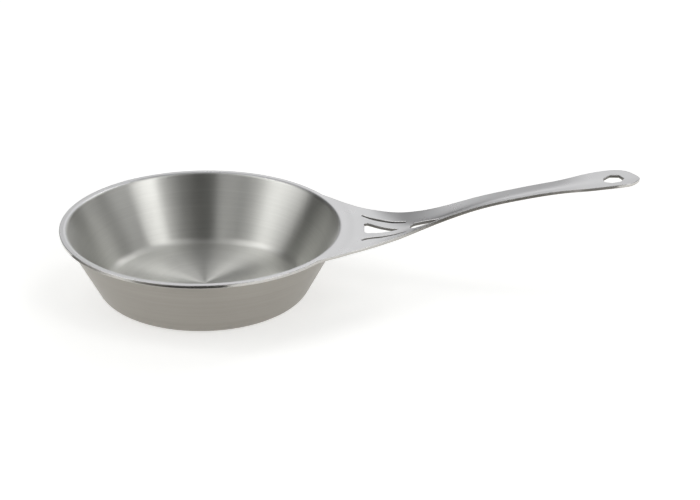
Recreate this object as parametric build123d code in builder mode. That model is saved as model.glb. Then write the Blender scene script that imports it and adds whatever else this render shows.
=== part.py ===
from build123d import *
import os
from math import atan2, cos, radians, sin, sqrt, tan

# A steel frying pan pressed from one heavy sheet: a conical bowl, a flat rim and a long upswept handle
# that runs on from the rim. The sheet is divided into zones where its form changes. The zones meet face
# to face. The origin is the centre of the underside, +Z is up and the handle points along +X.

# Bowl, in millimetres and degrees
rim_radius = 130
pan_height = 64
sheet = 3
wall_angle = 63  # side wall, above the horizontal
wall_foot_radius = 94.5  # where the outer faces of the floor and the wall would cross
base_bend_inside = 10  # inner radius of the bend between floor and wall
lip_bend_under = 1.5  # inner radius of the bend between wall and rim

# Root of the handle: the flat sheet steps down a little just outside the rim
root_drop = 0.7
root_drop_run = 10
root_sheet_radius = 170  # the blank reaches past the widest part of the root

# Handle: distance from the bowl's axis, height of the valley line above the rim, depth of the dish
# below its edges, half the width of the sheet there, and roundness of the valley. Roundness 0 would be
# a sharp valley between straight flanks, and 2 is nearly a parabola.
handle_stations = [
    (140, -0.7, 0, 49.3, 2),
    (146, -0.8, 0.35, 45.4, 2),
    (152, -1.35, 1.35, 41.8, 2),
    (158, -2.1, 2.75, 38.2, 2),
    (165, -2.4, 3.9, 34.1, 2),
    (173, -2, 4.65, 29.8, 1.5),
    (182, -0.55, 5, 25.5, 0.7),
    (192, 2, 5.25, 21.2, 0.4),
    (203, 5.6, 5.25, 17.4, 0.35),
    (215, 10.15, 5.1, 14.5, 0.35),
    (229, 15.95, 4.7, 12.7, 0.35),
    (245, 22.5, 3.95, 11.8, 0.35),
    (263, 28.85, 3.05, 11.3, 0.35),
    (283, 34.3, 2.7, 11.5, 0.35),
    (305, 39.45, 2.5, 11.7, 0.35),
    (328, 44.4, 2.3, 13.8, 0.35),
    (351, 49.5, 1.75, 18, 0.35),
    (374, 53.4, 1.3, 18.2, 0.35),
    (397, 55.1, 0.9, 17, 0.35),
]
dish_points = (-1, -0.6, -0.25, 0, 0.25, 0.6, 1)  # across the dish, from edge to edge
trim_margin = 4  # the dished blank is this much wider than the finished handle

# Edge of the handle seen from above, from the rim to the tip
edge_points = [
    (106.3, 74.8), (110, 71.8), (116, 67.3), (128, 58), (140, 49.3), (152, 41.8), (164, 34.7),
    (176, 28.3), (188, 22.8), (200, 18.3), (212, 15.1), (226, 12.9), (244, 11.8), (270, 11.3),
    (300, 11.7), (318, 12.4), (330, 14.1), (344, 17.1), (360, 18.7), (374, 18.2), (382, 15.5),
    (388, 9.6), (391.5, 4),
]
edge_start_direction = (0.75, -0.66)
handle_tip = 392.5

# Where the sheet passes from one zone to the next
root_end = 186
neck_end = 236
grip_end = 335

# Openings in the handle
middle_vent_back = 146.7
middle_vent_half_height = 12.3
middle_vent_tip = 178.5
middle_vent_corner = 3
hang_hole_x = 369
hang_hole_radius = 9.4  # centre to corner
hang_hole_sides = 7

# Worked out from the driving dimensions
base_bend_outside = base_bend_inside + sheet
lip_bend_top = lip_bend_under + sheet
angle = radians(wall_angle)
floor_radius = wall_foot_radius - base_bend_outside * tan(angle / 2)
lip_radius = wall_foot_radius + (pan_height - lip_bend_top) / tan(angle) + lip_bend_under / sin(angle)
base_bend_centre = (floor_radius, base_bend_outside)
lip_centre = (lip_radius, pan_height - lip_bend_top)


def on_circle(centre, radius, direction):
    """Point at a radius from a centre, in a direction given in degrees."""
    turn = radians(direction)
    return (centre[0] + radius * cos(turn), centre[1] + radius * sin(turn))


foot_direction = wall_angle - 90
wall_foot_outer = on_circle(base_bend_centre, base_bend_outside, foot_direction)
wall_foot_inner = on_circle(base_bend_centre, base_bend_inside, foot_direction)
head_direction = wall_angle + 90
wall_head_outer = on_circle(lip_centre, lip_bend_under, head_direction)
wall_head_inner = on_circle(lip_centre, lip_bend_top, head_direction)


def dish_height(across, half_width, depth, roundness):
    """Height of the dished sheet above its valley: straight flanks joined by a rounded valley."""
    span = sqrt(1 + roundness**2) - roundness
    return depth * (sqrt((across / half_width) ** 2 + roundness**2) - roundness) / span


def dish_slope(across, half_width, depth, roundness):
    """Slope of the dished sheet, as rise over run."""
    span = sqrt(1 + roundness**2) - roundness
    run = across / half_width
    return depth * run / (half_width * span * sqrt(run**2 + roundness**2))


def dish_outline(half_width, depth, roundness):
    """Points along the upper and the lower face of the sheet, one sheet thickness apart."""
    upper, lower = [], []
    for fraction in dish_points:
        across = fraction * (half_width + trim_margin)
        height = dish_height(across, half_width, depth, roundness)
        slope = dish_slope(across, half_width, depth, roundness)
        normal_length = sqrt(1 + slope**2)
        upper.append((across, height))
        lower.append((across + sheet * slope / normal_length, height - sheet / normal_length))
    return upper, lower


def station_plane(index):
    """Plane across the handle at a station, square to the valley line, with its Y axis upwards."""
    before = handle_stations[max(index - 1, 0)]
    here = handle_stations[index]
    after = handle_stations[min(index + 1, len(handle_stations) - 1)]
    climb = atan2(after[1] - before[1], after[0] - before[0])
    return Plane(
        origin=(here[0], 0, pan_height + here[1]),
        x_dir=(0, 1, 0),
        z_dir=(cos(climb), 0, sin(climb)),
    )


os.makedirs("parts", exist_ok=True)

# Flat cooking floor, which the pan stands on
with BuildPart() as bowl_floor:
    with BuildSketch():
        Circle(floor_radius)
    extrude(amount=sheet)
bowl_floor.part.label = "bowl_floor"
export_step(bowl_floor.part, "parts/bowl_floor.step")

# Rounded bend between floor and side
with BuildPart() as base_bend:
    with BuildSketch(Plane.XZ):
        with BuildLine():
            Line((floor_radius, sheet), (floor_radius, 0))
            CenterArc(base_bend_centre, base_bend_outside, -90, wall_angle)
            Line(wall_foot_outer, wall_foot_inner)
            CenterArc(base_bend_centre, base_bend_inside, foot_direction, -wall_angle)
        make_face()
    revolve(axis=Axis.Z)
base_bend.part.label = "base_bend"
export_step(base_bend.part, "parts/base_bend.step")

# Conical side
with BuildPart() as bowl_wall:
    with BuildSketch(Plane.XZ):
        with BuildLine():
            Polyline(wall_foot_inner, wall_foot_outer, wall_head_outer, wall_head_inner, close=True)
        make_face()
    revolve(axis=Axis.Z)
bowl_wall.part.label = "bowl_wall"
export_step(bowl_wall.part, "parts/bowl_wall.step")

# Rolled lip and flat rim
with BuildPart() as rim_flange:
    with BuildSketch(Plane.XZ):
        with BuildLine():
            Line(wall_head_outer, wall_head_inner)
            CenterArc(lip_centre, lip_bend_top, head_direction, -wall_angle)
            Polyline(
                (lip_radius, pan_height),
                (rim_radius, pan_height),
                (rim_radius, pan_height - sheet),
                (lip_radius, pan_height - sheet),
            )
            CenterArc(lip_centre, lip_bend_under, 90, wall_angle)
        make_face()
    revolve(axis=Axis.Z)
rim_flange.part.label = "rim_flange"
export_step(rim_flange.part, "parts/rim_flange.step")

# The whole handle sheet: a root that steps down from the rim, and a dished length that climbs from it,
# trimmed together to the handle's outline
with BuildPart() as handle_sheet:
    with BuildSketch(Plane.XZ):
        with BuildLine():
            Spline(
                (rim_radius, pan_height),
                (rim_radius + root_drop_run, pan_height - root_drop),
                tangents=[(1, 0), (1, 0)],
            )
            Polyline(
                (rim_radius + root_drop_run, pan_height - root_drop),
                (root_sheet_radius, pan_height - root_drop),
                (root_sheet_radius, pan_height - root_drop - sheet),
                (rim_radius + root_drop_run, pan_height - root_drop - sheet),
            )
            Spline(
                (rim_radius + root_drop_run, pan_height - root_drop - sheet),
                (rim_radius, pan_height - sheet),
                tangents=[(-1, 0), (-1, 0)],
            )
            Line((rim_radius, pan_height - sheet), (rim_radius, pan_height))
        make_face()
    revolve(axis=Axis.Z)
    split(bisect_by=Plane.YZ.offset(handle_stations[0][0]), keep=Keep.BOTTOM)
    for index, station in enumerate(handle_stations):
        depth, half_width, roundness = station[2:]
        upper, lower = dish_outline(half_width, depth, roundness)
        with BuildSketch(station_plane(index)):
            with BuildLine():
                Spline(*upper)
                Line(upper[-1], lower[-1])
                Spline(*lower)
                Line(lower[0], upper[0])
            make_face()
    loft()
    with BuildSketch():
        with BuildLine():
            other_edge_points = [(along, -across) for along, across in reversed(edge_points)]
            outline = Spline(
                *edge_points,
                (handle_tip, 0),
                *other_edge_points,
                tangents=[edge_start_direction, (-edge_start_direction[0], edge_start_direction[1])],
            )
            Line(outline @ 1, outline @ 0)
        make_face()
        Circle(rim_radius, mode=Mode.SUBTRACT)
    extrude(amount=2 * pan_height, mode=Mode.INTERSECT)

# Flared plate that leaves the rim, with a three-sided vent between two leaf-shaped slots
with BuildPart() as handle_root:
    add(handle_sheet.part)
    split(bisect_by=Plane.YZ.offset(root_end), keep=Keep.BOTTOM)
    with BuildSketch():
        with BuildLine():
            Polyline(
                (middle_vent_back, middle_vent_half_height),
                (middle_vent_back, -middle_vent_half_height),
                (middle_vent_tip, 0),
                close=True,
            )
        make_face()
        blunt_corners = vertices().group_by(Axis.X)[0]
        fillet(blunt_corners, radius=middle_vent_corner)
        with BuildLine():
            outer_side = Spline((145.2, 28.4), (152, 24.1), (160, 20.9), (170, 16.5), (184, 11.5))
            narrow_end = ThreePointArc(outer_side @ 1, (184.9, 10.5), (184, 9.6))
            inner_side = Spline(narrow_end @ 1, (170, 13.7), (160, 17.3), (152, 20.3), (145, 25.8))
            ThreePointArc(inner_side @ 1, (143.9, 27.2), outer_side @ 0)
        slot = make_face()
        mirror(slot, about=Plane.XZ)
    extrude(amount=2 * pan_height, mode=Mode.SUBTRACT)
handle_root.part.label = "handle_root"
export_step(handle_root.part, "parts/handle_root.step")

# Dished, climbing neck with a tear-shaped vent
with BuildPart() as handle_neck:
    add(handle_sheet.part)
    split(bisect_by=Plane.YZ.offset(root_end), keep=Keep.TOP)
    split(bisect_by=Plane.YZ.offset(neck_end), keep=Keep.BOTTOM)
    with BuildSketch():
        with BuildLine():
            shoulder = ThreePointArc((188.2, 0), (189.8, 3.7), (193.4, 5))
            flank = ThreePointArc(shoulder @ 1, (204, 3.3), (215, 0))
            mirror(shoulder, about=Plane.XZ)
            mirror(flank, about=Plane.XZ)
        make_face()
    extrude(amount=2 * pan_height, mode=Mode.SUBTRACT)
handle_neck.part.label = "handle_neck"
export_step(handle_neck.part, "parts/handle_neck.step")

# Long dished grip
with BuildPart() as handle_grip:
    add(handle_sheet.part)
    split(bisect_by=Plane.YZ.offset(neck_end), keep=Keep.TOP)
    split(bisect_by=Plane.YZ.offset(grip_end), keep=Keep.BOTTOM)
handle_grip.part.label = "handle_grip"
export_step(handle_grip.part, "parts/handle_grip.step")

# Rounded end with its hanging hole, one corner of which points to the tip
with BuildPart() as handle_end:
    add(handle_sheet.part)
    split(bisect_by=Plane.YZ.offset(grip_end), keep=Keep.TOP)
    with BuildSketch():
        with Locations((hang_hole_x, 0)):
            RegularPolygon(radius=hang_hole_radius, side_count=hang_hole_sides)
    extrude(amount=2 * pan_height, mode=Mode.SUBTRACT)
handle_end.part.label = "handle_end"
export_step(handle_end.part, "parts/handle_end.step")
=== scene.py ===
from math import atan2, cos, hypot, pi, radians, sin, tan

import bpy
import numpy as np
from mathutils import Matrix, Vector
from mathutils.geometry import delaunay_2d_cdt


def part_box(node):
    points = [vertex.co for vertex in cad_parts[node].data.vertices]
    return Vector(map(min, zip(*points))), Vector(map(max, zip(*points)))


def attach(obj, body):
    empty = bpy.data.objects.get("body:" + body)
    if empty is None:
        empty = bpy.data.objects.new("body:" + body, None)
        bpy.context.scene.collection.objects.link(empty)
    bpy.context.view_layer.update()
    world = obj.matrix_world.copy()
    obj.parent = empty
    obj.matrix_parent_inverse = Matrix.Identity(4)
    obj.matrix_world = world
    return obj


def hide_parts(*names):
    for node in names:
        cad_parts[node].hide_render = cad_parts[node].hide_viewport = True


# Looks of a steel frying pan pressed from one sheet. The bowl is turned from its section. The flat rim and
# the handle are one sheet, triangulated in plan, lifted to its height and cut into the CAD's own zones.
# The pan's lengths are in millimetres until a mesh is made. The studio's are in metres.

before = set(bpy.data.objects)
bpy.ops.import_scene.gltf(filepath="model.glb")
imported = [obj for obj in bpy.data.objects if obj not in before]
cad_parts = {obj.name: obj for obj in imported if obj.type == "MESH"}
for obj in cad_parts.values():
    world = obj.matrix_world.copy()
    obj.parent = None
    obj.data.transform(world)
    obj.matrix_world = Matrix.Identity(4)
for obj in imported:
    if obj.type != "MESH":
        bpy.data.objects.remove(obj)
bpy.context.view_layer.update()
MM = 0.001


def node_corner(name, corner):
    """One corner of a CAD node's box, in millimetres: corner 0 is the lowest and 1 the highest."""
    return [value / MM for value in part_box(name)[corner]]


# Sizes read from the boxes of the CAD nodes
floor_radius = node_corner("bowl_floor", 1)[0]
sheet = node_corner("bowl_floor", 1)[2]
rim_radius = node_corner("rim_flange", 1)[0]
pan_height = node_corner("rim_flange", 1)[2]
root_end = node_corner("handle_root", 1)[0]
neck_end = node_corner("handle_neck", 1)[0]
grip_end = node_corner("handle_grip", 1)[0]
handle_tip = node_corner("handle_end", 1)[0]

# Sizes of the bowl's section, as in the CAD
wall_angle = radians(63)
base_bend_inside = 10
base_bend_outside = base_bend_inside + sheet
lip_bend_under = 1.5
lip_bend_top = lip_bend_under + sheet
wall_foot_radius = floor_radius + base_bend_outside * tan(wall_angle / 2)
lip_radius = (
    wall_foot_radius
    + (pan_height - lip_bend_top) / tan(wall_angle)
    + lip_bend_under / sin(wall_angle)
)

# Handle, as in the CAD: distance from the bowl's axis, height of the valley above the rim, depth of the
# dish, half width and roundness of the valley
handle_stations = [
    (128, -0.7, 0, 58, 2),
    (134, -0.7, 0, 53.6, 2),
    (140, -0.7, 0, 49.3, 2),
    (146, -0.8, 0.35, 45.4, 2),
    (152, -1.35, 1.35, 41.8, 2),
    (158, -2.1, 2.75, 38.2, 2),
    (165, -2.4, 3.9, 34.1, 2),
    (173, -2, 4.65, 29.8, 1.5),
    (182, -0.55, 5, 25.5, 0.7),
    (192, 2, 5.25, 21.2, 0.4),
    (203, 5.6, 5.25, 17.4, 0.35),
    (215, 10.15, 5.1, 14.5, 0.35),
    (229, 15.95, 4.7, 12.7, 0.35),
    (245, 22.5, 3.95, 11.8, 0.35),
    (263, 28.85, 3.05, 11.3, 0.35),
    (283, 34.3, 2.7, 11.5, 0.35),
    (305, 39.45, 2.5, 11.7, 0.35),
    (328, 44.4, 2.3, 13.8, 0.35),
    (351, 49.5, 1.75, 18, 0.35),
    (374, 53.4, 1.3, 18.2, 0.35),
    (397, 55.1, 0.9, 17, 0.35),
]
root_drop = 0.7
root_drop_run = 10
dish_blend_from = 134
dish_blend_run = 12
edge_points = [
    (106.3, 74.8), (110, 71.8), (116, 67.3), (128, 58), (140, 49.3), (152, 41.8), (164, 34.7),
    (176, 28.3), (188, 22.8), (200, 18.3), (212, 15.1), (226, 12.9), (244, 11.8), (270, 11.3),
    (300, 11.7), (318, 12.4), (330, 14.1), (344, 17.1), (360, 18.7), (374, 18.2), (382, 15.5),
    (388, 9.6), (391.5, 4),
]
edge_start_direction = (0.75, -0.66)

# Finish: how far the sheet's cut edges are rounded over, and how finely the meshes are divided
edge_round = 0.5
round_steps = (0, 22, 45, 67, 90)  # degrees from the side to the top of a rounded edge
turns = 240  # divisions around the bowl
bend_steps = 10
flat_steps = 8
wall_steps = 6
corner_steps = 5
edge_spacing = 1.3
arc_spacing = 0.5
grid_spacing = 2.1
grid_shift = 0.01  # every other grid point moves this far, so that they don't all line up
grid_reach = 76  # the grid covers this much on either side of the handle's middle
grid_clearance = 1  # grid points keep this far from the rim and the divisions
edge_clearance = 2.6 * edge_round  # grid points keep this far from the cut edges
division_reach = 25  # the lines between zones run this far on either side
division_points = 31
lip_brushed = 2.6  # the inside's brushing stops this far short of the flat rim
gradient_step = 0.05
section_rounds = 5  # repeats that settle where a tilted section meets the valley line


# Curves in plan

same_point = 1e-4


def spline_through(points, start=None, end=None, spacing=edge_spacing):
    """Points along a cubic spline through the given ones, with optional directions at its ends."""
    knots = np.array(points, float)
    chords = np.linalg.norm(np.diff(knots, axis=0), axis=1)
    along = np.concatenate(([0], np.cumsum(chords)))
    count = len(knots)
    system = np.zeros((count, count))
    given = np.zeros((count, 2))
    for row in range(1, count - 1):
        before, after = chords[row - 1], chords[row]
        system[row, row - 1 : row + 2] = after, 2 * (before + after), before
        step_before = (knots[row] - knots[row - 1]) / before
        step_after = (knots[row + 1] - knots[row]) / after
        given[row] = 3 * (after * step_before + before * step_after)
    for row, neighbour, chord, direction in ((0, 1, chords[0], start), (-1, -2, chords[-1], end)):
        if direction is None:
            system[row, row], system[row, neighbour] = 2, 1
            given[row] = 3 * (knots[max(row, neighbour)] - knots[min(row, neighbour)]) / chord
        else:
            system[row, row] = 1
            given[row] = np.array(direction) / hypot(*direction)
    slopes = np.linalg.solve(system, given)
    result = []
    for piece in range(count - 1):
        steps = max(2, int(round(chords[piece] / spacing)))
        for step in range(steps):
            t = step / steps
            result.append(
                (1 + 2 * t) * (1 - t) ** 2 * knots[piece]
                + t * (1 - t) ** 2 * chords[piece] * slopes[piece]
                + t * t * (3 - 2 * t) * knots[piece + 1]
                + t * t * (t - 1) * chords[piece] * slopes[piece + 1]
            )
    result.append(knots[-1])
    return np.array(result)


def arc_through(a, b, c, spacing=arc_spacing):
    """Points along the arc that runs from a to c by way of b."""
    a, b, c = (np.array(p, float) for p in (a, b, c))
    middle = np.linalg.solve(2 * np.array([b - a, c - a]), [b @ b - a @ a, c @ c - a @ a])
    radius = np.linalg.norm(a - middle)
    angles = [atan2(*(p - middle)[::-1]) for p in (a, b, c)]
    turn_to_b = (angles[1] - angles[0]) % (2 * pi)
    sweep = (angles[2] - angles[0]) % (2 * pi)
    if turn_to_b > sweep:
        sweep -= 2 * pi
    steps = max(3, int(abs(sweep) * radius / spacing))
    swept = angles[0] + sweep * np.arange(steps + 1) / steps
    return middle + radius * np.column_stack((np.cos(swept), np.sin(swept)))


def rounded_polygon(corners, radii):
    """Points around a polygon whose corners are rounded to the radii, with points along its sides too."""
    corners = [np.array(corner, float) for corner in corners]
    points = []
    for index, (corner, radius) in enumerate(zip(corners, radii)):
        back = corners[index - 1] - corner
        ahead = corners[(index + 1) % len(corners)] - corner
        back, ahead = back / np.linalg.norm(back), ahead / np.linalg.norm(ahead)
        half = np.arccos(np.clip(back @ ahead, -1, 1)) / 2
        reach = radius / tan(half)
        middle = corner + (back + ahead) / np.linalg.norm(back + ahead) * radius / sin(half)
        first, last = corner + back * reach - middle, corner + ahead * reach - middle
        for step in range(corner_steps + 1):
            share = step / corner_steps
            spoke = first * (1 - share) + last * share
            points.append(middle + spoke / np.linalg.norm(spoke) * radius)
    return fill_sides(np.array(points))


def fill_sides(points):
    """A closed outline with extra points along its long sides."""
    filled = []
    for point, following in zip(points, np.roll(points, -1, axis=0)):
        steps = max(1, int(np.linalg.norm(following - point) / edge_spacing))
        filled.extend(point + (following - point) * step / steps for step in range(steps))
    return np.array(filled)


def mirrored(points):
    """The same outline on the other side of the handle, kept running the same way round."""
    return (np.array(points) * (1, -1))[::-1]


def anticlockwise(points):
    """The outline, turned round if it runs clockwise."""
    x, y = points[:, 0], points[:, 1]
    area = np.sum(x * np.roll(y, -1) - y * np.roll(x, -1))
    return points if area > 0 else points[::-1]


def join(*runs):
    """One closed outline from runs of points that meet end to end, without the repeated points."""
    points = np.concatenate(runs)
    gaps = np.linalg.norm(points - np.roll(points, 1, axis=0), axis=1)
    return points[gaps > same_point]


# Outlines of the sheet seen from above. Outlines of openings run anticlockwise and the outer one clockwise,
# so that the metal is always on the right.

root_angle = atan2(edge_points[0][1], edge_points[0][0])
root_corner = (rim_radius * cos(root_angle), rim_radius * sin(root_angle))
circle_angles = 2 * pi * np.arange(turns) / turns


def ring(radius):
    """Points around the bowl's axis, in line with the divisions of the bowl."""
    return radius * np.column_stack((np.cos(circle_angles), np.sin(circle_angles)))


def outer_outline():
    """The handle's edge from the rim to the tip and back, then round the rim."""
    upper = [root_corner] + edge_points[1:]
    lower = [(x, -y) for x, y in reversed(upper)]
    edge = spline_through(
        upper + [(handle_tip, 0)] + lower,
        start=edge_start_direction,
        end=(-edge_start_direction[0], edge_start_direction[1]),
    )
    margin = radians(0.4)  # keeps the rim's points off the corners where the handle leaves it
    free = (circle_angles > root_angle + margin) & (circle_angles < 2 * pi - root_angle - margin)
    return np.concatenate((edge, ring(rim_radius)[free][::-1]))


def middle_vent():
    """Three-sided vent in the root, its two back corners more rounded than its tip."""
    return rounded_polygon([(146.7, 12.3), (146.7, -12.3), (178.5, 0)], [3, 3, 0.5])


def leaf_slot():
    """Leaf-shaped slot beside the middle vent."""
    outer = spline_through([(145.2, 28.4), (152, 24.1), (160, 20.9), (170, 16.5), (184, 11.5)])
    narrow = arc_through((184, 11.5), (184.9, 10.5), (184, 9.6))
    inner = spline_through([(184, 9.6), (170, 13.7), (160, 17.3), (152, 20.3), (145, 25.8)])
    wide = arc_through((145, 25.8), (143.9, 27.2), (145.2, 28.4))
    return join(outer, narrow, inner, wide)


def neck_vent():
    """Tear-shaped vent in the neck."""
    shoulder = arc_through((188.2, 0), (189.8, 3.7), (193.4, 5))
    flank = arc_through((193.4, 5), (204, 3.3), (215, 0), spacing=edge_spacing)
    half = np.concatenate((shoulder, flank[1:]))
    return join(half, (half * (1, -1))[::-1])


def hang_hole():
    """Seven-sided hanging hole, one corner towards the tip."""
    sides, radius, centre, corner_radius = 7, 9.4, 369, 0.4
    directions = [2 * pi * side / sides for side in range(sides)]
    corners = [(centre + radius * cos(turn), radius * sin(turn)) for turn in directions]
    return rounded_polygon(corners, [corner_radius] * sides)


leaf = leaf_slot()
openings = [middle_vent(), leaf, mirrored(leaf), neck_vent(), hang_hole()]
cut_edges = [outer_outline()] + [anticlockwise(points) for points in openings]


def outward(loop):
    """At each point of an outline, the direction that leaves the metal."""
    ahead = np.roll(loop, -1, axis=0) - loop
    ahead /= np.linalg.norm(ahead, axis=1)[:, None]
    sideways = np.column_stack((-ahead[:, 1], ahead[:, 0]))
    both = sideways + np.roll(sideways, 1, axis=0)
    return both / np.linalg.norm(both, axis=1)[:, None]


edge_directions = [outward(loop) for loop in cut_edges]


def nearest_edge(points, first_loop=0):
    """For each point, its distance to the nearest cut edge and the direction out of the metal there.
    A first loop of 1 leaves out the outer outline."""
    distance = np.full(len(points), np.inf)
    direction = np.zeros((len(points), 2))
    for loop, leaving in zip(cut_edges[first_loop:], edge_directions[first_loop:]):
        following, leaving_next = np.roll(loop, -1, axis=0), np.roll(leaving, -1, axis=0)
        for a, b, out_a, out_b in zip(loop, following, leaving, leaving_next):
            side = b - a
            share = np.clip((points - a) @ side / (side @ side), 0, 1)[:, None]
            gap = np.linalg.norm(points - a - share * side, axis=1)
            closer = gap < distance
            distance[closer] = gap[closer]
            direction[closer] = (out_a * (1 - share) + out_b * share)[closer]
    return distance, direction / np.linalg.norm(direction, axis=1)[:, None]


def inside(points, loops):
    """Which points lie inside the first outline and outside the openings that the others enclose."""
    result = np.zeros(len(points), bool)
    x, y = points[:, 0], points[:, 1]
    for loop in loops:
        for a, b in zip(loop, np.roll(loop, -1, axis=0)):
            crosses = (a[1] > y) != (b[1] > y)
            if crosses.any():
                where = a[0] + (y - a[1]) * (b[0] - a[0]) / (b[1] - a[1])
                result ^= crosses & (x < where)
    return result


# Height of the sheet's upper face


def smooth_step(value):
    """Rises smoothly from 0 to 1."""
    value = np.clip(value, 0, 1)
    return value * value * (3 - 2 * value)


def column_spline(xs, ys):
    """A natural cubic spline through the values ys at xs, as a function of x."""
    xs, ys = np.array(xs, float), np.array(ys, float)
    gaps = np.diff(xs)
    count = len(xs)
    system, given = np.eye(count), np.zeros(count)
    for row in range(1, count - 1):
        system[row, row - 1 : row + 2] = gaps[row - 1], 2 * (gaps[row - 1] + gaps[row]), gaps[row]
        rises = np.diff(ys[row - 1 : row + 2]) / gaps[row - 1 : row + 1]
        given[row] = 6 * (rises[1] - rises[0])
    bends = np.linalg.solve(system, given)

    def value_at(x):
        x = np.clip(x, xs[0], xs[-1])
        piece = np.clip(np.searchsorted(xs, x) - 1, 0, count - 2)
        gap, left, right = gaps[piece], x - xs[piece], xs[piece + 1] - x
        return (
            (bends[piece] * right**3 + bends[piece + 1] * left**3) / (6 * gap)
            + (ys[piece] / gap - bends[piece] * gap / 6) * right
            + (ys[piece + 1] / gap - bends[piece + 1] * gap / 6) * left
        )

    return value_at


station_x, station_height, station_depth, station_width, station_roundness = zip(*handle_stations)
valley_height = column_spline(station_x, station_height)
dish_depth = column_spline(station_x, station_depth)
half_width = column_spline(station_x, station_width)
roundness = column_spline(station_x, station_roundness)
least_roundness = 0.2


def dished_height(x, y):
    """Height of the handle's upper face. Its sections stand square to the climbing valley line."""
    foot = np.array(x, float)
    for _ in range(section_rounds):
        climb = np.arctan((valley_height(foot + 1) - valley_height(foot - 1)) / 2)
        blunt = np.maximum(roundness(foot), least_roundness)
        span = np.sqrt(1 + blunt**2) - blunt
        across = y / half_width(foot)
        rise = np.maximum(dish_depth(foot), 0) * (np.sqrt(across**2 + blunt**2) - blunt) / span
        foot = x + rise * np.sin(climb)
    return pan_height + valley_height(foot) + rise * np.cos(climb)


lip_limit = 0.999  # stops short of where the lip's section would turn vertical


def sheet_height(x, y):
    """Height of the upper face of the rim and handle, before its edges are rounded."""
    radius = np.hypot(x, y)
    inward = np.clip(lip_radius - radius, 0, lip_bend_top * lip_limit)
    lip = pan_height - lip_bend_top + np.sqrt(lip_bend_top**2 - inward**2)
    flat = lip - root_drop * smooth_step((radius - rim_radius) / root_drop_run)
    share = smooth_step((x - dish_blend_from) / dish_blend_run)
    return flat + share * (dished_height(x, y) - flat)


def sheet_normal(x, y):
    """Direction square to the upper face."""
    step, run = gradient_step, 2 * gradient_step
    slope_x = (sheet_height(x + step, y) - sheet_height(x - step, y)) / run
    slope_y = (sheet_height(x, y + step) - sheet_height(x, y - step)) / run
    normal = np.column_stack((-slope_x, -slope_y, np.ones_like(slope_x)))
    return normal / np.linalg.norm(normal, axis=1)[:, None]


# Meshes


def make_mesh(name, points, faces, normals, finishes, materials):
    """A mesh object from points in millimetres, with a normal for each corner of each face."""
    mesh = bpy.data.meshes.new(name)
    mesh.from_pydata([tuple(MM * value for value in point) for point in points], [], faces)
    for material in materials:
        mesh.materials.append(material)
    mesh.polygons.foreach_set("use_smooth", [True] * len(mesh.polygons))
    mesh.polygons.foreach_set("material_index", finishes)
    mesh.normals_split_custom_set([tuple(normal) for face in normals for normal in face])
    mesh.update()
    piece = bpy.data.objects.new(name, mesh)
    bpy.context.scene.collection.objects.link(piece)
    return piece


def lathe(name, runs, materials):
    """A solid turned about the Z axis. Each run is a smooth stretch of its section with a material:
    a list of (radius, height, normal radius, normal height). The runs close up end to end."""
    points, faces, normals, finishes = [], [], [], []
    ring_start = {}

    def ring_of(radius, height):
        """The index of a ring's first point, and whether the ring is a single point on the axis."""
        key = (round(radius, 5), round(height, 5))
        on_axis = radius == 0
        if key not in ring_start:
            ring_start[key] = len(points)
            if on_axis:
                points.append((0, 0, height))
            else:
                points.extend((radius * cos(a), radius * sin(a), height) for a in circle_angles)
        return ring_start[key], on_axis

    for stretch, finish in runs:
        for (r0, z0, nr0, nz0), (r1, z1, nr1, nz1) in zip(stretch, stretch[1:]):
            (first, first_on_axis), (second, second_on_axis) = ring_of(r0, z0), ring_of(r1, z1)
            for here in range(turns):
                there = (here + 1) % turns
                face, face_normals = [], []
                for start, on_axis, nr, nz, pair in (
                    (first, first_on_axis, nr0, nz0, (here, there)),
                    (second, second_on_axis, nr1, nz1, (there, here)),
                ):
                    for turn in pair:
                        index = start if on_axis else start + turn
                        if index in face:
                            continue
                        face.append(index)
                        angle = circle_angles[turn]
                        face_normals.append((nr * cos(angle), nr * sin(angle), nz))
                faces.append(face[::-1])
                normals.append(face_normals[::-1])
                finishes.append(finish)
    return make_mesh(name, points, faces, normals, finishes, materials)


def bend(centre, radius, start, sweep, facing):
    """Section of a bend, from a start angle over a sweep in radians. Facing 1 faces away from the centre."""
    stretch = []
    for step in range(bend_steps + 1):
        turn = start + sweep * step / bend_steps
        direction = (cos(turn), sin(turn))
        place = (centre[0] + radius * direction[0], centre[1] + radius * direction[1])
        stretch.append((*place, facing * direction[0], facing * direction[1]))
    return stretch


def straight(start, end, normal, steps=1):
    """Section of a flat or conical face."""
    return [
        (
            start[0] + (end[0] - start[0]) * step / steps,
            start[1] + (end[1] - start[1]) * step / steps,
            *normal,
        )
        for step in range(steps + 1)
    ]


INSIDE, OUTSIDE = 0, 1
bend_centre = (floor_radius, base_bend_outside)
lip_centre = (lip_radius, pan_height - lip_bend_top)
wall_normal = (-sin(wall_angle), cos(wall_angle))
along_wall = (cos(wall_angle), sin(wall_angle))
foot_inner = tuple(c - base_bend_inside * n for c, n in zip(bend_centre, wall_normal))
foot_outer = tuple(c - base_bend_outside * n for c, n in zip(bend_centre, wall_normal))
head_inner = tuple(c + lip_bend_top * n for c, n in zip(lip_centre, wall_normal))
head_outer = tuple(c + lip_bend_under * n for c, n in zip(lip_centre, wall_normal))


def floor_piece(materials):
    """Flat disc that the pan stands on."""
    return lathe("cooking_floor", [
        (straight((0, sheet), (floor_radius, sheet), (0, 1), flat_steps), INSIDE),
        (straight((floor_radius, sheet), (floor_radius, 0), (1, 0)), OUTSIDE),
        (straight((floor_radius, 0), (0, 0), (0, -1), flat_steps), OUTSIDE),
    ], materials)


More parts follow.
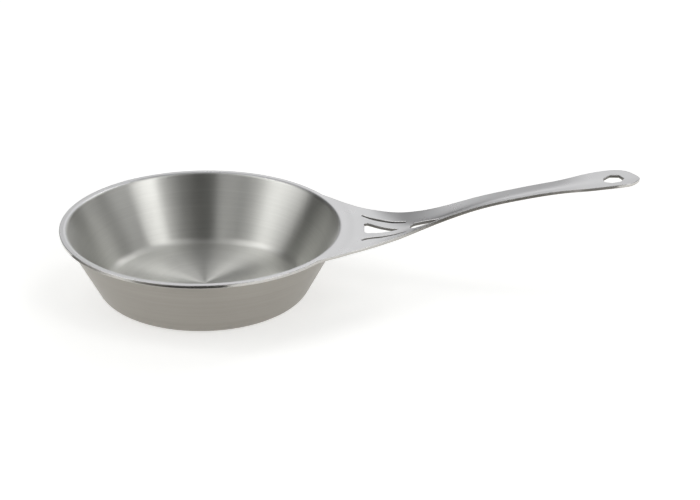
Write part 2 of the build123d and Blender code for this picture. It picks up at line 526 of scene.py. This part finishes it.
def bend_piece(materials):
    """Rounded bend between the floor and the side."""
    return lathe("lower_bend", [
        (bend(bend_centre, base_bend_inside, -pi / 2, wall_angle, -1), INSIDE),
        (straight(foot_inner, foot_outer, along_wall), OUTSIDE),
        (bend(bend_centre, base_bend_outside, -pi / 2, wall_angle, 1)[::-1], OUTSIDE),
        (straight((floor_radius, 0), (floor_radius, sheet), (-1, 0)), OUTSIDE),
    ], materials)


def wall_piece(materials):
    """Conical side."""
    return lathe("conical_side", [
        (straight(foot_inner, head_inner, wall_normal, wall_steps), INSIDE),
        (straight(head_inner, head_outer, along_wall), OUTSIDE),
        (straight(head_outer, foot_outer, (-wall_normal[0], -wall_normal[1]), wall_steps), OUTSIDE),
        (straight(foot_outer, foot_inner, (-along_wall[0], -along_wall[1])), OUTSIDE),
    ], materials)


# The rim and handle sheet

lip_turns = [wall_angle * step / bend_steps for step in range(bend_steps, -1, -1)]
lip_rings = [ring(lip_radius - lip_bend_top * sin(turn)) for turn in lip_turns]
divisions = (root_end, neck_end, grip_end)


def sheet_grid():
    """Points spread over the handle, clear of the rim, the cut edges and the divisions."""
    grid_x, grid_y = np.meshgrid(
        np.arange(rim_radius * cos(root_angle), handle_tip, grid_spacing),
        np.arange(-grid_reach, grid_reach, grid_spacing),
    )
    grid = np.column_stack((grid_x.ravel(), grid_y.ravel()))
    grid[::2, 0] += grid_shift
    beyond_rim = np.hypot(*grid.T) > rim_radius + grid_clearance
    grid = grid[inside(grid, cut_edges) & beyond_rim]
    distance, _ = nearest_edge(grid)
    grid = grid[distance > edge_clearance]
    for division in divisions:
        grid = grid[np.abs(grid[:, 0] - division) > grid_clearance]
    return grid


def sheet_plan():
    """Corners and triangles of the sheet in plan, with every ring, outline and division as an edge."""
    points, edges = [], []

    def add_line(line, closed):
        start = len(points)
        points.extend(line)
        count = len(line)
        edges.extend((start + i, start + (i + 1) % count) for i in range(count if closed else count - 1))

    for loop, leaving in zip(cut_edges, edge_directions):
        for step in round_steps:
            inset = edge_round * (1 - cos(radians(step)))
            add_line(loop - leaving * inset, True)
    for line in lip_rings:
        add_line(line, True)
    near_root = np.linspace(-root_angle, root_angle, 1 + 2 * int(root_angle / (2 * pi / turns)))
    add_line(rim_radius * np.column_stack((np.cos(near_root), np.sin(near_root))), False)
    across = np.linspace(-division_reach, division_reach, division_points)
    for division in divisions:
        add_line(np.column_stack((np.full_like(across, division), across)), False)

    points.extend(sheet_grid())
    points.extend(ring((lip_radius + rim_radius - edge_round) / 2))
    corners, _, triangles, _, _, _ = delaunay_2d_cdt(
        [Vector(point) for point in points], edges, [], 0, same_point
    )
    corners = np.array([tuple(corner) for corner in corners])
    triangles = np.array([tuple(triangle) for triangle in triangles])
    middles = corners[triangles].mean(axis=1)
    triangles = triangles[inside(middles, cut_edges + [lip_rings[0]])]
    return corners, triangles


def sheet_faces(corners):
    """The sheet's corners with its cut edges rounded over: upper and lower places, their normals, distance to
    the nearest cut edge, the direction out of the metal there, and whether that edge is an opening's."""
    x, y = corners[:, 0], corners[:, 1]
    normal = sheet_normal(x, y)
    top = np.column_stack((x, y, sheet_height(x, y)))
    bottom = top - np.column_stack((0 * x, 0 * x, sheet / normal[:, 2]))
    on_lip = np.hypot(x, y) < lip_radius
    bottom[on_lip] = (top - sheet * normal)[on_lip]
    distance, leaving = nearest_edge(corners)
    level = np.clip(1 - distance / edge_round, 0, 1)
    lift = np.sqrt(1 - level**2)
    fall = edge_round * (1 - lift)
    top[:, 2] -= fall
    bottom[:, 2] += fall
    sideways = np.column_stack((leaving, 0 * x))
    upper = level[:, None] * sideways + lift[:, None] * normal
    lower = level[:, None] * sideways - lift[:, None] * normal
    upper /= np.linalg.norm(upper, axis=1)[:, None]
    lower /= np.linalg.norm(lower, axis=1)[:, None]
    opening_distance, _ = nearest_edge(corners, first_loop=1)
    in_opening = opening_distance < edge_round
    return top, bottom, upper, lower, distance, sideways, in_opening


FACE_TOP, FACE_UNDER, FACE_EDGE, FACE_CUT, FACE_LIP, FACE_SHEARED_PAINTED_SHADE = range(6)
on_cut = 0.01  # corners closer than this to a cut edge lie on it


def top_finish(on_edge, radius):
    """Finish of an upper face, by whether it is part of a rounded edge and how far out it lies."""
    if on_edge:
        return FACE_EDGE
    return FACE_LIP if radius < lip_radius - lip_brushed else FACE_TOP


def sheet_piece(name, triangles, faces_of_sheet, materials):
    """One zone of the sheet as a closed solid."""
    top, bottom, upper, lower, distance, sideways, in_opening = faces_of_sheet
    used = np.unique(triangles)
    place = {corner: index for index, corner in enumerate(used)}
    count = len(used)
    points = list(top[used]) + list(bottom[used])
    faces, normals, finishes = [], [], []
    borders = {}
    for triangle in triangles:
        a, b, c = triangle
        on_edge = distance[triangle].min() < edge_round / 2
        faces.append([place[a], place[b], place[c]])
        normals.append([upper[a], upper[b], upper[c]])
        finishes.append(top_finish(on_edge, np.hypot(*top[triangle][:, :2].mean(axis=0))))
        faces.append([count + place[c], count + place[b], count + place[a]])
        normals.append([lower[c], lower[b], lower[a]])
        finishes.append(FACE_CUT if on_edge else FACE_UNDER)
        for start, end in ((a, b), (b, c), (c, a)):
            if (end, start) in borders:
                del borders[end, start]
            else:
                borders[start, end] = True
    for start, end in borders:
        faces.append([place[end], place[start], count + place[start], count + place[end]])
        if distance[start] < on_cut and distance[end] < on_cut:
            normals.append([sideways[end], sideways[start], sideways[start], sideways[end]])
            # Walls of the openings take the near-black steel of painted shade.
            finishes.append(FACE_SHEARED_PAINTED_SHADE if in_opening[start] else FACE_CUT)
        else:
            run = top[end] - top[start]
            flat = np.array((run[1], -run[0], 0)) / hypot(run[0], run[1])
            normals.append([flat] * 4)
            finishes.append(FACE_UNDER)
    return make_mesh(name, points, faces, normals, finishes, materials)


handle_margin = 0.9  # the handle starts within this share of the distance to where it leaves the rim


def sheet_zones(corners, triangles):
    """Triangles of each zone of the sheet, by the CAD node that the zone stands for."""
    middles = corners[triangles].mean(axis=1)
    radius, along = np.hypot(*middles.T), middles[:, 0]
    past_rim = radius > rim_radius * cos(pi / turns)
    on_handle = past_rim & (along > rim_radius * cos(root_angle) * handle_margin)
    return {
        "rim_flange": triangles[~on_handle],
        "handle_root": triangles[on_handle & (along < root_end)],
        "handle_neck": triangles[on_handle & (along > root_end) & (along < neck_end)],
        "handle_grip": triangles[on_handle & (along > neck_end) & (along < grip_end)],
        "handle_end": triangles[on_handle & (along > grip_end)],
    }


# Materials. The brushing runs round the bowl, so the gloss spreads across it.


class NodeLine:
    """Short names for building a node tree."""

    def __init__(self, tree):
        self.tree = tree

    def node(self, kind, **settings):
        made = self.tree.nodes.new(kind)
        for key, value in settings.items():
            setattr(made, key, value)
        return made

    def put(self, socket, value):
        if isinstance(value, bpy.types.NodeSocket):
            self.tree.links.new(value, socket)
        else:
            socket.default_value = value

    def math(self, operation, *values):
        made = self.node("ShaderNodeMath", operation=operation)
        for socket, value in zip(made.inputs, values):
            self.put(socket, value)
        return made.outputs[0]

    def vector(self, x, y, z):
        made = self.node("ShaderNodeCombineXYZ")
        for socket, value in zip(made.inputs, (x, y, z)):
            self.put(socket, value)
        return made.outputs[0]

    def weighted(self, first, first_weight, second, second_weight):
        first_part = self.math("MULTIPLY", first, first_weight)
        second_part = self.math("MULTIPLY", second, second_weight)
        return self.math("ADD", first_part, second_part)

    def noise(self, place, scale, detail, roughness):
        made = self.node("ShaderNodeTexNoise")
        self.put(made.inputs["Vector"], place)
        made.inputs["Scale"].default_value = scale
        made.inputs["Detail"].default_value = detail
        made.inputs["Roughness"].default_value = roughness
        return made.outputs["Fac"]

    def ranged(self, value, low, high, to_low, to_high, smooth=False):
        made = self.node("ShaderNodeMapRange")
        if smooth:
            made.interpolation_type = "SMOOTHSTEP"
        for socket, number in zip(made.inputs, (value, low, high, to_low, to_high)):
            self.put(socket, number)
        return made.outputs[0]

    def mix(self, share, first, second):
        made = self.node("ShaderNodeMix", data_type="RGBA")
        self.put(made.inputs[0], share)
        self.put(made.inputs[6], (*first, 1) if isinstance(first, tuple) else first)
        self.put(made.inputs[7], (*second, 1) if isinstance(second, tuple) else second)
        return made.outputs[2]


def metal(name):
    """A material with an empty metallic shader."""
    material = bpy.data.materials.new(name)
    material.use_nodes = True
    line = NodeLine(material.node_tree)
    shader = material.node_tree.nodes["Principled BSDF"]
    shader.inputs["Metallic"].default_value = 1
    place = line.node("ShaderNodeTexCoord").outputs["Object"]
    return material, line, shader, place


def add_bump(line, shader, height, strength, distance):
    """Small relief from a height pattern."""
    bump = line.node("ShaderNodeBump")
    bump.inputs["Strength"].default_value = strength
    bump.inputs["Distance"].default_value = distance
    line.put(bump.inputs["Height"], height)
    line.put(shader.inputs["Normal"], bump.outputs[0])


# Brushing: grooves are divided by distance along the section and drawn out round the axis
slant_share = 1.7  # how much height counts beside radius along the section
across_grooves = 1000
along_grooves = 2.2
groove_scale = 2.2
band_scale = 0.16
brushed_cloud_scale = 28.0
groove_height = 0.00005

# Satin: fine even grain and broad clouds of gloss
grain_scale = 1400.0
satin_cloud_scale = 45.0
grain_height = 0.00006


def brushed_metal(name, light, dark, smoothest, roughest, anisotropic, groove_depth):
    """Steel brushed round the bowl's axis: grooves, uneven gloss and faint turning marks."""
    material, line, shader, place = metal(name)
    split = line.node("ShaderNodeSeparateXYZ")
    line.put(split.inputs[0], place)
    x, y, z = split.outputs
    radius = line.math("SQRT", line.math("ADD", line.math("MULTIPLY", x, x), line.math("MULTIPLY", y, y)))
    turn = line.math("ARCTAN2", y, x)
    slant = line.math("ADD", radius, line.math("MULTIPLY", z, slant_share))
    across = line.math("MULTIPLY", slant, across_grooves)
    along = line.math("MULTIPLY", turn, along_grooves)
    grooves_at = line.vector(across, along, 0.0)
    grooves = line.noise(grooves_at, groove_scale, 3.0, 0.7)
    bands = line.noise(grooves_at, band_scale, 2.0, 0.6)
    clouds = line.noise(place, brushed_cloud_scale, 3.0, 0.6)
    texture = line.weighted(grooves, 0.55, bands, 0.45)
    line.put(shader.inputs["Base Color"], line.mix(line.ranged(texture, 0.3, 0.7, 0.0, 1.0), dark, light))
    uneven = line.weighted(texture, 0.6, clouds, 0.4)
    line.put(shader.inputs["Roughness"], line.ranged(uneven, 0.3, 0.7, smoothest, roughest))
    add_bump(line, shader, grooves, groove_depth, groove_height)
    shader.inputs["Anisotropic"].default_value = anisotropic
    shader.inputs["Anisotropic Rotation"].default_value = 0.25
    tangent = line.node("ShaderNodeTangent", direction_type="RADIAL", axis="Z")
    line.put(shader.inputs["Tangent"], tangent.outputs[0])
    return material


def satin_metal(name, light, dark, smoothest, roughest, grain_depth):
    """Steel with an even, finely grained satin finish and slightly uneven gloss."""
    material, line, shader, place = metal(name)
    grain = line.noise(place, grain_scale, 2.0, 0.6)
    clouds = line.noise(place, satin_cloud_scale, 4.0, 0.6)
    mixed = line.weighted(grain, 0.6, clouds, 0.4)
    line.put(shader.inputs["Base Color"], line.mix(line.ranged(mixed, 0.35, 0.65, 0.0, 1.0), dark, light))
    line.put(shader.inputs["Roughness"], line.ranged(clouds, 0.3, 0.7, smoothest, roughest))
    add_bump(line, shader, grain, grain_depth, grain_height)
    return material


# Each finish: lighter and darker colour, smoothest and roughest gloss, anisotropy if brushed, relief
inside_steel = brushed_metal(
    "inside_brushed_steel", (0.76, 0.76, 0.735), (0.66, 0.66, 0.635), 0.32, 0.4, 1.0, 0.06
)
# The outside's colour is about half as bright as the inside's and warmer. This is painted shade and a painted
# warm reflection, on a rougher, less anisotropic brushing.
outside_steel_painted_shade = brushed_metal(
    "outside_brushed_steel_painted_shade", (0.388, 0.368, 0.336), (0.326, 0.309, 0.279), 0.36, 0.46, 0.6, 0.2
)
satin_steel = satin_metal("satin_steel", (0.665, 0.665, 0.68), (0.635, 0.635, 0.65), 0.26, 0.33, 0.08)
under_steel = satin_metal("under_satin_steel", (0.6, 0.59, 0.57), (0.54, 0.53, 0.51), 0.32, 0.42, 0.3)
edge_steel = satin_metal("polished_edge_steel", (0.7, 0.7, 0.7), (0.64, 0.64, 0.64), 0.2, 0.3, 0.15)
cut_steel = satin_metal("cut_edge_steel", (0.6, 0.585, 0.56), (0.46, 0.45, 0.43), 0.14, 0.24, 0.2)
# Walls of the openings are near-black steel. Their colour is painted shade and painted dark reflection, on a
# rough sheared finish.
sheared_steel_painted_shade = satin_metal("sheared_steel_painted_shade", (0.22, 0.213, 0.2), (0.14, 0.136, 0.128), 0.3, 0.45, 0.4)
bowl_materials = [inside_steel, outside_steel_painted_shade]
sheet_materials = [satin_steel, under_steel, edge_steel, cut_steel, inside_steel, sheared_steel_painted_shade]

for build, node in ((floor_piece, "bowl_floor"), (bend_piece, "base_bend"), (wall_piece, "bowl_wall")):
    piece = build(bowl_materials)
    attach(piece, "root")
    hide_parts(node)

plan_corners, plan_triangles = sheet_plan()
lifted = sheet_faces(plan_corners)
zone_names = {
    "rim_flange": "flat_rim",
    "handle_root": "vented_root",
    "handle_neck": "dished_neck",
    "handle_grip": "long_grip",
    "handle_end": "hanging_end",
}
for node, zone in sheet_zones(plan_corners, plan_triangles).items():
    piece = sheet_piece(zone_names[node], zone, lifted, sheet_materials)
    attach(piece, "root")
    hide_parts(node)


# Studio: a pale floor under a world of soft light panels


floor_reach = 30
floor_drop = 0.0003  # keeps the floor just clear of the pan's base
card_height = 0.0002


def pale_floor():
    """Large pale floor, bright enough that the pan's shadow stays soft."""
    reach = floor_reach
    mesh = bpy.data.meshes.new("floor")
    corners = [(-reach, -reach, 0), (reach, -reach, 0), (reach, reach, 0), (-reach, reach, 0)]
    mesh.from_pydata(corners, [], [(0, 1, 2, 3)])
    material = bpy.data.materials.new("pale_floor")
    material.use_nodes = True
    shader = material.node_tree.nodes["Principled BSDF"]
    shader.inputs["Base Color"].default_value = (0.8, 0.8, 0.795, 1)
    shader.inputs["Roughness"].default_value = 0.9
    shader.inputs["Specular IOR Level"].default_value = 0.1
    shader.inputs["Emission Color"].default_value = (1, 1, 0.995, 1)
    shader.inputs["Emission Strength"].default_value = 0.55
    mesh.materials.append(material)
    floor = bpy.data.objects.new("floor", mesh)
    floor.location.z = -floor_drop
    bpy.context.scene.collection.objects.link(floor)


# Dark cards on the floor, seen only in the steel: their left, right, near and far sides and their tone
dark_cards = {
    "left_card": (-0.5, -0.205, -0.2, 0.0, 0.14),
    "front_left_card": (-0.5, -0.075, -0.46, -0.2, 0.16),
    "front_card": (-0.075, 0.085, -0.46, -0.2, 0.03),
    "handle_card": (0.25, 0.47, -0.42, -0.13, 0.2),
}


def dark_card(name, left, right, near, far, tone):
    """A flat card that darkens what the cut edges reflect. The camera doesn't see it."""
    mesh = bpy.data.meshes.new(name)
    corners = [(x, y, card_height) for x, y in ((left, near), (right, near), (right, far), (left, far))]
    mesh.from_pydata(corners, [], [(0, 1, 2, 3)])
    material = bpy.data.materials.new(name)
    material.use_nodes = True
    shader = material.node_tree.nodes["Principled BSDF"]
    shader.inputs["Base Color"].default_value = (0, 0, 0, 1)
    shader.inputs["Emission Color"].default_value = (tone, tone * 0.97, tone * 0.9, 1)
    shader.inputs["Emission Strength"].default_value = 1
    mesh.materials.append(material)
    card = bpy.data.objects.new(name, mesh)
    for kind in ("camera", "diffuse", "shadow", "transmission"):
        setattr(card, f"visible_{kind}", False)
    bpy.context.scene.collection.objects.link(card)


# Light panels: azimuth, half width, softness, lowest and highest elevation, softness of those, strength.
# Azimuth 0 is towards the viewer and 90 is to the viewer's right, in degrees. A negative one is a dark flag.
light_panels = [
    (-76, 21, 18, -5, 84, 14, 1.2),  # soft box on the left
    (61, 12, 6, -5, 84, 14, 1.75),  # narrow soft box on the right
    (88, 9, 12, -5, 62, 20, 0.4),  # its fading outer side
    (-18, 10, 3, -5, 60, 20, 0.2),  # faint light beside the camera
    (4, 11, 3, -5, 80, 20, -0.25),  # dark flag at the camera
    (18, 14, 14, -5, 80, 20, -0.17),  # its soft right side
    (-111, 11, 10, -5, 55, 20, -0.26),  # dark flags beyond the soft boxes
    (117, 13, 8, -5, 75, 20, -0.27),
    (126, 1.6, 3, -5, 60, 20, 0.6),  # thin bright gap
    (-148, 24, 12, -5, 43, 10, -0.26),  # dark flags low behind
    (155, 18, 14, -5, 32, 12, -0.26),
    (178, 24, 20, -20, 47, 12, 0.6),  # pale wall behind
    (178, 28, 20, 17, 42, 10, 0.17),
    (-135, 35, 20, 48, 75, 12, 0.32),  # high soft boxes behind
    (140, 13, 10, 35, 60, 14, 2.1),
    (-92, 9, 8, 46, 72, 12, 2.0),  # high soft box on the left
]
room_light = 0.27
darkest = 0.03


def fade(line, value, at, softness, before, after):
    """Changes smoothly from one value to another around an angle in degrees."""
    low, high = radians(at - softness / 2), radians(at + softness / 2)
    return line.ranged(value, low, high, before, after, True)


def studio_world():
    """A world whose brightness depends on direction, as in a studio of soft panels."""
    world = bpy.data.worlds.new("studio")
    bpy.context.scene.world = world
    world.use_nodes = True
    tree = world.node_tree
    line = NodeLine(tree)
    split = line.node("ShaderNodeSeparateXYZ")
    line.put(split.inputs[0], line.node("ShaderNodeTexCoord").outputs["Generated"])
    x, y, z = split.outputs
    azimuth = line.math("ARCTAN2", x, line.math("MULTIPLY", y, -1.0))
    elevation = line.math("ARCSINE", z)
    total = room_light
    for around, half, soft, low, high, soft_ends, strength in light_panels:
        offset = line.math("WRAP", line.math("SUBTRACT", azimuth, radians(around)), pi, -pi)
        sideways = fade(line, line.math("ABSOLUTE", offset), half, soft, 1.0, 0.0)
        upwards = fade(line, elevation, low, soft_ends, 0.0, 1.0)
        downwards = fade(line, elevation, high, soft_ends, 1.0, 0.0)
        share = line.math("MULTIPLY", sideways, line.math("MULTIPLY", upwards, downwards))
        total = line.math("ADD", total, line.math("MULTIPLY", share, strength))
    background = tree.nodes["Background"]
    background.inputs["Color"].default_value = (1, 1, 0.99, 1)
    line.put(background.inputs["Strength"], line.math("MAXIMUM", total, darkest))


def key_light():
    """Large soft light above and behind the pan."""
    light = bpy.data.lights.new("overhead_soft_light", "AREA")
    light.shape = "RECTANGLE"
    light.size = 1.6
    light.size_y = 1.2
    light.energy = 0.6
    lamp = bpy.data.objects.new("overhead_soft_light", light)
    lamp.location = (0.1, 0.5, 1.8)
    lamp.rotation_euler = (Vector((0.1, 0, 0)) - lamp.location).to_track_quat("-Z", "Y").to_euler()
    bpy.context.scene.collection.objects.link(lamp)


def camera():
    """Camera looking down at the pan from the side, with a long lens, tilted a little sideways."""
    pitch, roll = radians(24.79), radians(1.37)
    distance, aside, below = 1.369, 0.13405, 0.021405
    sensor_width, focal_length, farthest_seen = 36, 77.14, 100
    forward = Vector((0, cos(pitch), -sin(pitch)))
    level_right = Vector((1, 0, 0))
    level_up = Vector((0, sin(pitch), cos(pitch)))
    right = cos(roll) * level_right + sin(roll) * level_up
    up = cos(roll) * level_up - sin(roll) * level_right
    rim_centre = Vector((0, 0, MM * pan_height))
    data = bpy.data.cameras.new("camera")
    data.sensor_width = sensor_width
    data.lens = focal_length
    data.clip_end = farthest_seen
    viewer = bpy.data.objects.new("camera", data)
    turned = Matrix((right, up, -forward)).transposed().to_4x4()
    place = rim_centre - distance * forward + aside * level_right - below * level_up
    viewer.matrix_world = Matrix.Translation(place) @ turned
    bpy.context.scene.collection.objects.link(viewer)
    bpy.context.scene.camera = viewer


pale_floor()
for card_name, card_sides in dark_cards.items():
    dark_card(card_name, *card_sides)
studio_world()
key_light()
camera()
bpy.context.scene.view_settings.view_transform = "Standard"

bpy.context.view_layer.update()
